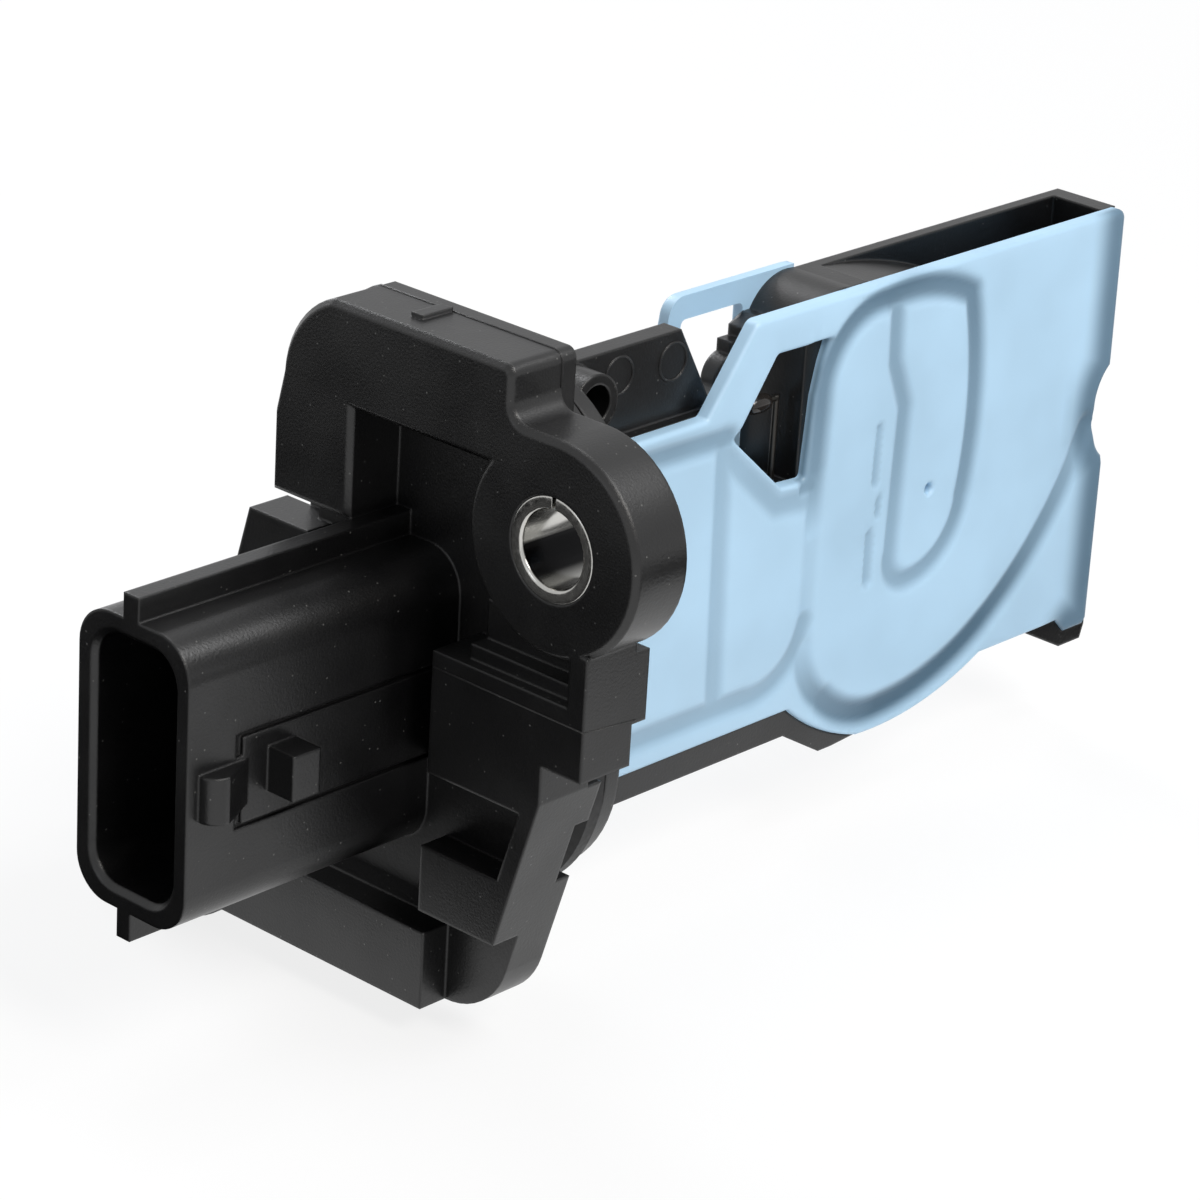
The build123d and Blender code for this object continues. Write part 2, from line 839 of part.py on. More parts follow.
# Front cover: one plate over the whole blade, with its relief sunk into the outer face
with BuildPart() as front_cover:
    with BuildSketch(side_plane(-half_core)):
        add(cover_shape)
        add(window_shape.sketch, mode=Mode.SUBTRACT)
        with Locations((pin_hole_x, pin_hole_z)):
            Circle(pin_hole / 2, mode=Mode.SUBTRACT)
    extrude(amount=cover_thickness)
    with BuildSketch(side_plane(-half_blade + relief)):
        for groove in (duct_relief, panel_relief, post_relief, frame_relief, low_relief):
            add(groove.sketch)
        add(window_shape.sketch, mode=Mode.SUBTRACT)
    extrude(amount=relief, mode=Mode.SUBTRACT)
front_cover.part.label = "front_cover"
export_step(front_cover.part, "parts/front_cover.step")

# Back cover: a plate with a steeper left end, lower along the inlet, with the loop's port
with BuildPart() as back_cover:
    with BuildSketch(side_plane(half_blade)):
        add(cover_outline(back_slant_bottom_x, back_slant_top_x, back_top, back_corner))
        with Locations((crest_x, blade_top - back_drop)):
            Rectangle(tip_x - crest_x, 2 * back_drop, align=Align.MIN, mode=Mode.SUBTRACT)
        add(back_window_shape.sketch, mode=Mode.SUBTRACT)
        with Locations((port_x, port_z)):
            RectangleRounded(port_width, port_height, port_corner, mode=Mode.SUBTRACT)
    extrude(amount=cover_thickness)
back_cover.part.label = "back_cover"
export_step(back_cover.part, "parts/back_cover.step")

# Split compression bushes
for bush_name, (bush_y, bush_z) in zip(("upper_bush", "lower_bush"), ears):
    with BuildPart() as bush:
        with BuildSketch(Plane.YZ.offset(flange_front)):
            with Locations((bush_y, bush_z)):
                Circle(bush_outer / 2)
                Circle(bush_bore / 2, mode=Mode.SUBTRACT)
                Rectangle(bush_slit, bush_outer, align=(Align.CENTER, Align.MIN), mode=Mode.SUBTRACT)
        extrude(amount=flange_depth)
        front_rims = bush.faces().sort_by(Axis.X)[0].edges().filter_by(GeomType.CIRCLE)
        chamfer(front_rims, bush_edge)
    bush.part.label = bush_name
    export_step(bush.part, f"parts/{bush_name}.step")

# Sealing ring in the neck's groove, flat inside and rounded outside
with BuildPart() as sealing_ring:
    with BuildSketch(Plane.YZ.offset(ring_place - ring_cord / 2)):
        add(oblong(neck_radius + ring_proud))
        add(oblong(ring_inner), mode=Mode.SUBTRACT)
    extrude(amount=ring_cord)
    sides = sealing_ring.faces().filter_by(Axis.X)
    chamfer([edge for side in sides for edge in side.outer_wire().edges()], ring_edge)
sealing_ring.part.label = "sealing_ring"
export_step(sealing_ring.part, "parts/sealing_ring.step")

# Terminals, from the socket through the neck to the board
for number, row in enumerate(terminal_rows, start=1):
    with BuildPart() as terminal:
        with BuildSketch(side_plane(terminal_thickness / 2)):
            with Locations((terminal_start, row)):
                Rectangle(terminal_end - terminal_start, terminal_width, align=(Align.MIN, Align.CENTER))
        extrude(amount=terminal_thickness)
        chamfer(terminal.faces().sort_by(Axis.X)[0].edges(), terminal_taper)
    terminal.part.label = f"terminal_{number}"
    export_step(terminal.part, f"parts/terminal_{number}.step")

# Circuit board on the chamber's floor
with BuildPart() as circuit_board:
    with BuildSketch(side_plane(chamber_floor)):
        with Locations((board_left, chamber_bottom + board_gap)):
            Rectangle(board_length, chamber_top - chamber_bottom - 2 * board_gap, align=Align.MIN)
    extrude(amount=board_thickness)
circuit_board.part.label = "circuit_board"
export_step(circuit_board.part, "parts/circuit_board.step")

# Control chip on the board
with BuildPart() as control_chip:
    with BuildSketch(side_plane(board_front)):
        with Locations((control_chip_x, control_chip_z)):
            Rectangle(control_chip_size, control_chip_size)
    extrude(amount=control_chip_height)
control_chip.part.label = "control_chip"
export_step(control_chip.part, "parts/control_chip.step")

# Capacitors on the board
for number in range(capacitor_count):
    with BuildPart() as capacitor:
        with BuildSketch(side_plane(board_front)):
            with Locations((control_chip_x, capacitor_low + number * capacitor_pitch)):
                Rectangle(capacitor_length, capacitor_width)
        extrude(amount=capacitor_height)
    capacitor.part.label = f"capacitor_{number + 1}"
    export_step(capacitor.part, f"parts/capacitor_{number + 1}.step")

# Carrier that reaches from the board into the duct, with a bed for the flow chip
with BuildPart() as flow_chip_carrier:
    with BuildSketch(side_plane(carrier_back)):
        with Locations((carrier_start, 0)):
            Rectangle(carrier_end - carrier_start, carrier_width, align=(Align.MIN, Align.CENTER))
    extrude(amount=carrier_thickness)
    fillet(flow_chip_carrier.faces().sort_by(Axis.X)[-1].edges().filter_by(Axis.Y), carrier_round)
    with BuildSketch(side_plane(carrier_front + flow_chip_thickness)):
        with Locations((flow_chip_x, 0)):
            Rectangle(flow_chip_length, flow_chip_width)
    extrude(amount=flow_chip_thickness, mode=Mode.SUBTRACT)
flow_chip_carrier.part.label = "flow_chip_carrier"
export_step(flow_chip_carrier.part, "parts/flow_chip_carrier.step")

# Flow chip in its bed
with BuildPart() as flow_chip:
    with BuildSketch(side_plane(carrier_front + flow_chip_thickness)):
        with Locations((flow_chip_x, 0)):
            Rectangle(flow_chip_length, flow_chip_width)
    extrude(amount=flow_chip_thickness)
flow_chip.part.label = "flow_chip"
export_step(flow_chip.part, "parts/flow_chip.step")

# Thermistor bead, lying along X between its leads
with BuildPart() as thermistor_bead:
    with BuildSketch(Plane.YZ.offset(bead_left)):
        with Locations((lead_y, bead_z)):
            Circle(bead_diameter / 2)
    extrude(amount=bead_length)
    chamfer(thermistor_bead.edges().filter_by(GeomType.CIRCLE), bead_edge)
thermistor_bead.part.label = "thermistor_bead"
export_step(thermistor_bead.part, "parts/thermistor_bead.step")

# Lower lead: from the recess's floor up to the bead's right end, where it turns
with BuildPart() as lower_lead:
    with BuildSketch(Plane.XY.offset(recess_floor)):
        with Locations((lower_lead_x, lead_y)):
            Circle(lead_diameter / 2)
    extrude(amount=bead_z - recess_floor + lead_diameter / 2)
    with BuildSketch(Plane.YZ.offset(bead_right)):
        with Locations((lead_y, bead_z)):
            Circle(lead_diameter / 2)
    extrude(amount=lead_link)
lower_lead.part.label = "thermistor_lower_lead"
export_step(lower_lead.part, "parts/thermistor_lower_lead.step")

# Upper lead: straight from the recess's left side to the bead's left end
with BuildPart() as upper_lead:
    with BuildSketch(Plane.YZ.offset(recess_left)):
        with Locations((lead_y, bead_z)):
            Circle(lead_diameter / 2)
    extrude(amount=bead_left - recess_left)
upper_lead.part.label = "thermistor_upper_lead"
export_step(upper_lead.part, "parts/thermistor_upper_lead.step")
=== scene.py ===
import json
import math

import bmesh
import bpy
import numpy as np
from mathutils import Matrix, Vector
from mathutils.geometry import delaunay_2d_cdt


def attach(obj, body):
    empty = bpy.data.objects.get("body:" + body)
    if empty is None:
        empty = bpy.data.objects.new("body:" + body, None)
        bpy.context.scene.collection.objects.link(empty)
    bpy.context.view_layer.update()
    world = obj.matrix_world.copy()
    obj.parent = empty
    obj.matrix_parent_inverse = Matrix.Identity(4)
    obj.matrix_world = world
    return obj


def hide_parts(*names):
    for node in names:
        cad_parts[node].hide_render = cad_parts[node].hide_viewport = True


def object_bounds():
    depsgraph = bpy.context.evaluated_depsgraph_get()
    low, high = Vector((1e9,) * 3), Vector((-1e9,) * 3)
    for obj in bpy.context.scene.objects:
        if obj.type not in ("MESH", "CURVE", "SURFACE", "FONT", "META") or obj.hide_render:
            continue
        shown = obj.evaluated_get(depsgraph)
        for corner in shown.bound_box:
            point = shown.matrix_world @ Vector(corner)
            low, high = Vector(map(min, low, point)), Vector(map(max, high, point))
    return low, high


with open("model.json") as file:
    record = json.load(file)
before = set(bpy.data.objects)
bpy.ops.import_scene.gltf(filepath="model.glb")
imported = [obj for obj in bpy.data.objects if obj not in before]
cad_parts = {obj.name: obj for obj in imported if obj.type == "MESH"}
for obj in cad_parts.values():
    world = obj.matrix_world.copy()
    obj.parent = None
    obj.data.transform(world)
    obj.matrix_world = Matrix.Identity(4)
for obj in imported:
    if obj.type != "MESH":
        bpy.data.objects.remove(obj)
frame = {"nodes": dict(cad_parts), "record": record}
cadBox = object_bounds()
scene = bpy.context.scene
scene.view_settings.view_transform = "Standard"
nodes = frame["nodes"]
mm = 0.001  # the shared frame is in metres, the sizes below are in millimetres

arcSteps = 14  # points on each arc of an outline
cornerSteps = 6  # points on each rounded corner
cornerShare = 0.48  # the most of a side that a rounded corner takes
farOff = 9.0  # beyond the reach of every groove, slot and band on the covers
smoothAngle = 50  # degrees between two faces up to which they are shaded as one
samePlace = 1e-7  # metres within which two points of a turned piece are one
leastRun = 1e-12  # keeps a run of no length from dividing by zero


def hexToLinear(code):
    channels = [int(code[i:i + 2], 16) / 255 for i in (0, 2, 4)]
    return tuple(c / 12.92 if c <= 0.04045 else ((c + 0.055) / 1.055) ** 2.4 for c in channels) + (1.0,)


def addNode(tree, kind, settings=None, links=None):
    # a setting is an input's value or a property, and a link goes from an output to an input
    node = tree.nodes.new(kind)
    for name, value in (settings or {}).items():
        if isinstance(name, int) or name in node.inputs:
            node.inputs[name].default_value = value
        else:
            setattr(node, name, value)
    for name, source in (links or {}).items():
        tree.links.new(source, node.inputs[name])
    return node


def newMaterial(name):
    material = bpy.data.materials.new(name)
    material.use_nodes = True
    tree = material.node_tree
    return material, tree, tree.nodes["Principled BSDF"]


def arcPoints(start, middle, end, count):
    # points on the circle through three points, without the first
    (ax, ay), (bx, by), (cx, cy) = start, middle, end
    aa, bb, cc = ax * ax + ay * ay, bx * bx + by * by, cx * cx + cy * cy
    divisor = 2 * (ax * (by - cy) + bx * (cy - ay) + cx * (ay - by))
    x = (aa * (by - cy) + bb * (cy - ay) + cc * (ay - by)) / divisor
    y = (aa * (cx - bx) + bb * (ax - cx) + cc * (bx - ax)) / divisor
    radius = math.hypot(ax - x, ay - y)
    first = math.atan2(ay - y, ax - x)
    halfway = (math.atan2(by - y, bx - x) - first) % math.tau
    last = (math.atan2(cy - y, cx - x) - first) % math.tau
    if halfway > last:
        last -= math.tau
    turns = [first + last * i / count for i in range(1, count + 1)]
    return [(x + radius * math.cos(turn), y + radius * math.sin(turn)) for turn in turns]


def circlePoints(x, z, radius, count):
    turns = [math.tau * i / count for i in range(count)]
    return [(x + radius * math.cos(turn), z + radius * math.sin(turn)) for turn in turns]


def linePath(start, *steps):
    # a step is a point, or a middle and an end point of an arc
    path = [start]
    for step in steps:
        if isinstance(step[0], tuple):
            path += arcPoints(path[-1], step[0], step[1], arcSteps)
        else:
            path.append(step)
    return path


def roundCorners(path, radii):
    # rounds the corners of a closed outline that have a radius
    result = []
    for i, point in enumerate(path):
        radius = radii.get(i, 0)
        if not radius:
            result.append(point)
            continue
        corner, before, after = Vector(point), Vector(path[i - 1]), Vector(path[(i + 1) % len(path)])
        back, ahead = (before - corner).normalized(), (after - corner).normalized()
        half = math.acos(max(-1, min(1, back.dot(ahead)))) / 2
        sides = ((before - corner).length, (after - corner).length)
        reach = min(radius / math.tan(half), cornerShare * sides[0], cornerShare * sides[1])
        start, end = corner + back * reach, corner + ahead * reach
        centre = corner + (back + ahead).normalized() * reach / math.cos(half)
        middle = centre + (corner - centre).normalized() * reach * math.tan(half)
        result.append(tuple(start))
        result += arcPoints(tuple(start), tuple(middle), tuple(end), cornerSteps)
    return result


def densify(path, spacing):
    # more points along a closed outline
    result = []
    for (ax, ay), (bx, by) in zip(path, path[1:] + path[:1]):
        count = max(1, round(math.dist((ax, ay), (bx, by)) / spacing))
        result += [(ax + (bx - ax) * i / count, ay + (by - ay) * i / count) for i in range(count)]
    return result


def distanceTo(points, path, closed=False, withPlace=False):
    # distance of every point to a polyline, and how far along it the nearest spot is, from 0 to 1
    best, place = np.full(len(points), np.inf), np.zeros(len(points))
    ends = path[1:] + path[:1] if closed else path[1:]
    lengths = [math.dist(a, b) for a, b in zip(path, ends)]
    passed = 0.0
    for a, b, length in zip(path, ends, lengths):
        a, b = np.array(a), np.array(b)
        run = b - a
        share = np.clip(((points - a) @ run) / max(run @ run, leastRun), 0, 1)
        gap = np.hypot(*(points - a - share[:, None] * run).T)
        place = np.where(gap < best, (passed + share * length) / sum(lengths), place)
        best = np.minimum(best, gap)
        passed += length
    return (best, place) if withPlace else best


def nearestGap(points, paths, closed=False):
    # distance of every point to the nearest of several polylines, at most farOff
    gaps = [distanceTo(points, path, closed) for path in paths]
    return np.min(gaps + [np.full(len(points), farOff)], axis=0)


def isInside(points, path):
    inside = np.zeros(len(points), bool)
    x, y = points.T
    for (ax, ay), (bx, by) in zip(path, path[1:] + path[:1]):
        crosses = (ay > y) != (by > y)
        slope = (bx - ax) / (by - ay) if by != ay else 0
        inside ^= crosses & (x < ax + (y - ay) * slope)
    return inside


def isOnPlate(points, rims):
    # inside the first rim, which is the outline, and outside the others, which are holes
    inside = isInside(points, rims[0])
    for hole in rims[1:]:
        inside &= ~isInside(points, hole)
    return inside


def easedHill(ratio, level=0.0):
    # 1 up to a level share of the reach, then softly down to 0 at a ratio of 1
    share = np.clip((ratio - level) / (1 - level), 0, 1)
    return 0.5 * (1 + np.cos(np.pi * share))


def newPiece(name, data, slotName, *replaced):
    piece = bpy.data.objects.new(name, data)
    scene.collection.objects.link(piece)
    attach(piece, "root")
    if replaced:
        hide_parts(*replaced)


def lathe(profile, count, place, gap=0.0):
    # turns a closed profile of (radius, x) round an axis along X at place (y, z)
    # gap is half of a slit on top, in radians
    y, z = place
    steps = count - 1 if gap else count
    turns = [gap + (math.tau - 2 * gap) * i / steps for i in range(count)]
    verts = [
        (x * mm, (y + r * math.sin(turn)) * mm, (z + r * math.cos(turn)) * mm)
        for turn in turns for r, x in profile
    ]
    size = len(profile)
    faces = []
    for i in range(steps):
        here, there = i * size, (i + 1) % count * size
        for k in range(size):
            following = (k + 1) % size
            faces.append((here + k, there + k, there + following, here + following))
    if gap:
        faces += [tuple(range(size))[::-1], tuple((count - 1) * size + k for k in range(size))]
    return verts, faces


def smoothMesh(mesh, slotName, angle=smoothAngle):
    mesh.shade_smooth()
    mesh.set_sharp_from_angle(angle=math.radians(angle))
    mesh.materials.append(finishes[slotName])


def turnedMesh(name, verts, faces, slotName, angle=smoothAngle):
    # joins the points that meet on the axis and turns the faces outwards
    mesh = bpy.data.meshes.new(name)
    mesh.from_pydata(verts, [], faces)
    work = bmesh.new()
    work.from_mesh(mesh)
    bmesh.ops.remove_doubles(work, verts=work.verts, dist=samePlace)
    bmesh.ops.recalc_face_normals(work, faces=work.faces)
    work.to_mesh(mesh)
    work.free()
    smoothMesh(mesh, slotName, angle)
    return mesh


cameraView = {
    # the photograph's angle, fitted from the part's straight edges
    "azimuth": -48.30,
    "elevation": 22.54,
    "roll": 3.49,
    "place": (-209.6, -204.0, 127.4),  # millimetres
    "lens": 135,
    "sensor": 36,
    "nearest": 0.01,  # metres
    "farthest": 20,  # metres
}


def makeCamera():
    azimuth, elevation, roll = (math.radians(cameraView[key]) for key in ("azimuth", "elevation", "roll"))
    back = Vector((
        math.sin(azimuth) * math.cos(elevation),
        -math.cos(azimuth) * math.cos(elevation),
        math.sin(elevation),
    ))
    right = Vector((math.cos(azimuth), math.sin(azimuth), 0))
    up = back.cross(right)
    turnedRight = math.cos(roll) * right + math.sin(roll) * up
    turnedUp = math.cos(roll) * up - math.sin(roll) * right
    data = bpy.data.cameras.new("camera")
    data.lens = cameraView["lens"]
    data.sensor_width = cameraView["sensor"]
    data.clip_start = cameraView["nearest"]
    data.clip_end = cameraView["farthest"]
    camera = bpy.data.objects.new("camera", data)
    place = Matrix((turnedRight, turnedUp, back)).transposed().to_4x4()
    place.translation = Vector(cameraView["place"]) * mm
    camera.matrix_world = place
    scene.collection.objects.link(camera)
    scene.camera = camera


studio = {
    "floorGap": 0.4,  # millimetres below the part
    "floorHalf": 3.0,  # metres
    "floorColour": "f4f5f6",
    "floorRoughness": 0.9,
    "glowColour": "ffffff",
    "floorGlow": 0.82,  # share of plain white in what the camera and reflections see of the floor
    "backdropSheen": 0.6,  # share of plain white in the backdrop's reflections
    # black cards: X from and to, Y from and to, in metres
    "cards": [(-0.18, -0.02, -0.01, 0.16), (0.066, 0.19, -0.17, -0.01), (-0.03, 0.066, -0.17, -0.09)],
    "cardLift": 0.1,  # millimetres above the floor
    "cardColour": "000000",
    "cardRoughness": 1.0,
    "worldColour": "eef1f5",
    "worldLight": 0.30,
    # name: place in metres, size, watts, colour
    "lamps": {
        "keyLamp": ((-0.10, -0.62, 0.62), 0.34, 4.2, "fffaf4"),
        "coverLamp": ((0.055, -0.10, 0.16), 0.10, 0.14, "ffffff"),
        "leftLamp": ((-0.75, 0.05, 0.30), 0.30, 0.3, "f4f8ff"),
        "topLamp": ((0.15, 0.25, 0.85), 0.35, 1.6, "ffffff"),
        "backLamp": ((0.20, 0.70, 0.42), 0.36, 3.2, "fbfcff"),
    },
    "lampAim": (0.02, 0, 0),
}


def seenDirectly(tree, sheen):
    # 1 for the camera, the value of sheen for reflections, 0 for light that falls on the part
    rays = addNode(tree, "ShaderNodeLightPath")
    mirrored = addNode(tree, "ShaderNodeMath", {"operation": "MULTIPLY", 1: sheen},
                       {0: rays.outputs["Is Glossy Ray"]})
    seen = addNode(tree, "ShaderNodeMath", {"operation": "MAXIMUM"},
                   {0: rays.outputs["Is Camera Ray"], 1: mirrored.outputs[0]})
    return seen.outputs[0]


def flatPiece(name, x0, x1, y0, y1, z, material):
    mesh = bpy.data.meshes.new(name)
    mesh.from_pydata([(x0, y0, z), (x1, y0, z), (x1, y1, z), (x0, y1, z)], [], [(0, 1, 2, 3)])
    mesh.materials.append(material)
    piece = bpy.data.objects.new(name, mesh)
    scene.collection.objects.link(piece)
    return piece


def makeFloor():
    low = cadBox[0][2] - studio["floorGap"] * mm
    half = studio["floorHalf"]
    # matt white paper, lit so evenly that it is plain white but for a soft shadow
    material, tree, shader = newMaterial("paperSweep")
    shader.inputs["Base Color"].default_value = hexToLinear(studio["floorColour"])
    shader.inputs["Roughness"].default_value = studio["floorRoughness"]
    white = hexToLinear(studio["glowColour"])
    glow = addNode(tree, "ShaderNodeEmission", {"Color": white, "Strength": 1.0})
    share = addNode(tree, "ShaderNodeMath", {"operation": "MULTIPLY", 1: studio["floorGlow"]},
                    {0: seenDirectly(tree, 1.0)})
    mix = addNode(tree, "ShaderNodeMixShader", None,
                  {0: share.outputs[0], 1: shader.outputs[0], 2: glow.outputs[0]})
    tree.links.new(mix.outputs[0], tree.nodes["Material Output"].inputs["Surface"])
    flatPiece("floor", -half, half, -half, half, low, material)

    # black cards on the floor, seen only in reflections: they keep the mouth, the arm and the rail dark
    material, tree, shader = newMaterial("blackCard")
    shader.inputs["Base Color"].default_value = hexToLinear(studio["cardColour"])
    shader.inputs["Roughness"].default_value = studio["cardRoughness"]
    for number, card in enumerate(studio["cards"], start=1):
        piece = flatPiece(f"card{number}", *card, low + studio["cardLift"] * mm, material)
        piece.visible_camera = piece.visible_diffuse = piece.visible_shadow = False


def makeBackdrop():
    world = bpy.data.worlds.new("studioWorld")
    world.use_nodes = True
    tree = world.node_tree
    background = tree.nodes["Background"]
    background.inputs["Color"].default_value = hexToLinear(studio["worldColour"])
    background.inputs["Strength"].default_value = studio["worldLight"]
    white = hexToLinear(studio["glowColour"])
    backdrop = addNode(tree, "ShaderNodeBackground", {"Color": white, "Strength": 1.0})
    mix = addNode(tree, "ShaderNodeMixShader", None, {
        0: seenDirectly(tree, studio["backdropSheen"]), 1: background.outputs[0], 2: backdrop.outputs[0],
    })
    tree.links.new(mix.outputs[0], tree.nodes["World Output"].inputs["Surface"])
    scene.world = world


def makeLamps():
    for name, (place, size, watts, colour) in studio["lamps"].items():
        data = bpy.data.lights.new(name, "AREA")
        data.shape = "DISK"
        data.size = size
        data.energy = watts
        data.color = hexToLinear(colour)[:3]
        lamp = bpy.data.objects.new(name, data)
        lamp.location = place
        aim = Vector(studio["lampAim"]) - Vector(place)
        lamp.rotation_euler = aim.to_track_quat("-Z", "Y").to_euler()
        scene.collection.objects.link(lamp)


# materials: sizes are in millimetres, and object coordinates are in metres
noiseRange = {"From Min": 0.3, "From Max": 0.7}  # most of a noise texture's values lie here

blackPbt = {
    # glass-filled PBT, moulded in a fine spark-eroded tool: matte grain, grey sheen, few dust specks
    "colour": "070708",
    "dustColour": "6a6a68",
    "dustShare": 0.6,
    "ior": 1.57,
    "roughness": (0.3, 0.4),
    "edgeRound": 0.3,
    "grainSize": 0.2,  # drawn coarser than the real 0.05 mm, so that it shows
    "grainDepth": 0.02,
    "grainStrength": 0.8,
    "waveSize": 6.0,
    "waveDepth": 0.02,
    "waveStrength": 0.35,
    "dustSize": 0.95,
    "dustRadius": 0.085,
    "dustFull": 0.5,  # share of its radius where a speck is full
}


def makeBlackPbt():
    material, tree, shader = newMaterial("mouldedPbtBlack")
    place = addNode(tree, "ShaderNodeTexCoord").outputs["Object"]
    grain = addNode(tree, "ShaderNodeTexNoise",
                    {"Scale": 1 / (blackPbt["grainSize"] * mm), "Detail": 2.0}, {"Vector": place})
    wave = addNode(tree, "ShaderNodeTexNoise",
                   {"Scale": 1 / (blackPbt["waveSize"] * mm), "Detail": 3.0}, {"Vector": place})
    rough = addNode(tree, "ShaderNodeMapRange", {
        **noiseRange, "To Min": blackPbt["roughness"][0], "To Max": blackPbt["roughness"][1],
    }, {"Value": wave.outputs["Fac"]})
    cells = addNode(tree, "ShaderNodeTexVoronoi",
                    {"Scale": 1 / (blackPbt["dustSize"] * mm)}, {"Vector": place})
    # a speck lies at each cell's seed point
    speck = addNode(tree, "ShaderNodeMapRange", {
        "From Min": blackPbt["dustRadius"] / blackPbt["dustSize"],
        "From Max": blackPbt["dustFull"] * blackPbt["dustRadius"] / blackPbt["dustSize"],
        "To Min": 0.0,
        "To Max": blackPbt["dustShare"],
    }, {"Value": cells.outputs["Distance"]})
    colour = addNode(tree, "ShaderNodeMix", {
        "data_type": "RGBA", 6: hexToLinear(blackPbt["colour"]), 7: hexToLinear(blackPbt["dustColour"]),
    }, {"Factor": speck.outputs["Result"]})
    eased = addNode(tree, "ShaderNodeBevel", {"samples": 6, "Radius": blackPbt["edgeRound"] * mm})
    waveBump = addNode(tree, "ShaderNodeBump", {
        "Strength": blackPbt["waveStrength"], "Distance": blackPbt["waveDepth"] * mm,
    }, {"Height": wave.outputs["Fac"], "Normal": eased.outputs["Normal"]})
    grainBump = addNode(tree, "ShaderNodeBump", {
        "Strength": blackPbt["grainStrength"], "Distance": blackPbt["grainDepth"] * mm,
    }, {"Height": grain.outputs["Fac"], "Normal": waveBump.outputs["Normal"]})
    tree.links.new(colour.outputs[2], shader.inputs["Base Color"])
    tree.links.new(rough.outputs["Result"], shader.inputs["Roughness"])
    tree.links.new(grainBump.outputs["Normal"], shader.inputs["Normal"])
    shader.inputs["IOR"].default_value = blackPbt["ior"]
    return material


bluePbt = {
    # light blue PBT, moulded in a satin tool: smooth, soft highlights, and a darker colour painted down in
    # the grooves: partly shade, partly the black walls under the thin plate
    "colour": "a9cae2",
    # painted shade in the grooves, where the black walls under the plate also show
    "grooveShadeAndWallColour": "24485f",
    "ior": 1.57,
    "roughness": (0.38, 0.48),
    "grainSize": 0.12,  # drawn coarser than the real 0.03 mm, so that it shows
    "grainDepth": 0.004,
    "grainStrength": 0.5,
    "cloudSize": 9.0,
    "cloudShare": 0.05,
}


def makeBluePbt():
    material, tree, shader = newMaterial("mouldedPbtBlue")
    place = addNode(tree, "ShaderNodeTexCoord").outputs["Object"]
    grain = addNode(tree, "ShaderNodeTexNoise",
                    {"Scale": 1 / (bluePbt["grainSize"] * mm), "Detail": 2.0}, {"Vector": place})
    cloud = addNode(tree, "ShaderNodeTexNoise",
                    {"Scale": 1 / (bluePbt["cloudSize"] * mm), "Detail": 2.0}, {"Vector": place})
    # the groove attribute: painted shade, partly also the black walls under the plate
    depth = addNode(tree, "ShaderNodeAttribute", {"attribute_name": "groove"})
    rough = addNode(tree, "ShaderNodeMapRange", {
        **noiseRange, "To Min": bluePbt["roughness"][0], "To Max": bluePbt["roughness"][1],
    }, {"Value": cloud.outputs["Fac"]})
    colour = addNode(tree, "ShaderNodeMix", {
        "data_type": "RGBA", 6: hexToLinear(bluePbt["colour"]), 7: hexToLinear(bluePbt["grooveShadeAndWallColour"]),
    }, {"Factor": depth.outputs["Fac"]})
    tint = addNode(tree, "ShaderNodeMapRange", {
        **noiseRange, "To Min": 1 - bluePbt["cloudShare"], "To Max": 1 + bluePbt["cloudShare"],
    }, {"Value": cloud.outputs["Fac"]})
    toned = addNode(tree, "ShaderNodeVectorMath", {"operation": "SCALE"},
                    {0: colour.outputs[2], "Scale": tint.outputs["Result"]})
    bump = addNode(tree, "ShaderNodeBump", {
        "Strength": bluePbt["grainStrength"], "Distance": bluePbt["grainDepth"] * mm,
    }, {"Height": grain.outputs["Fac"]})
    tree.links.new(toned.outputs["Vector"], shader.inputs["Base Color"])
    tree.links.new(rough.outputs["Result"], shader.inputs["Roughness"])
    tree.links.new(bump.outputs["Normal"], shader.inputs["Normal"])
    shader.inputs["IOR"].default_value = bluePbt["ior"]
    return material


# what the plain finishes share, unless one of them says otherwise
plainFinish = {
    "metallic": 0.0,
    "edgeRound": 0.08,
    "grainStrength": 0.5,
    "grainShades": (0.9, 1.06),  # the grain's dark and light spots, as shares of the colour
}

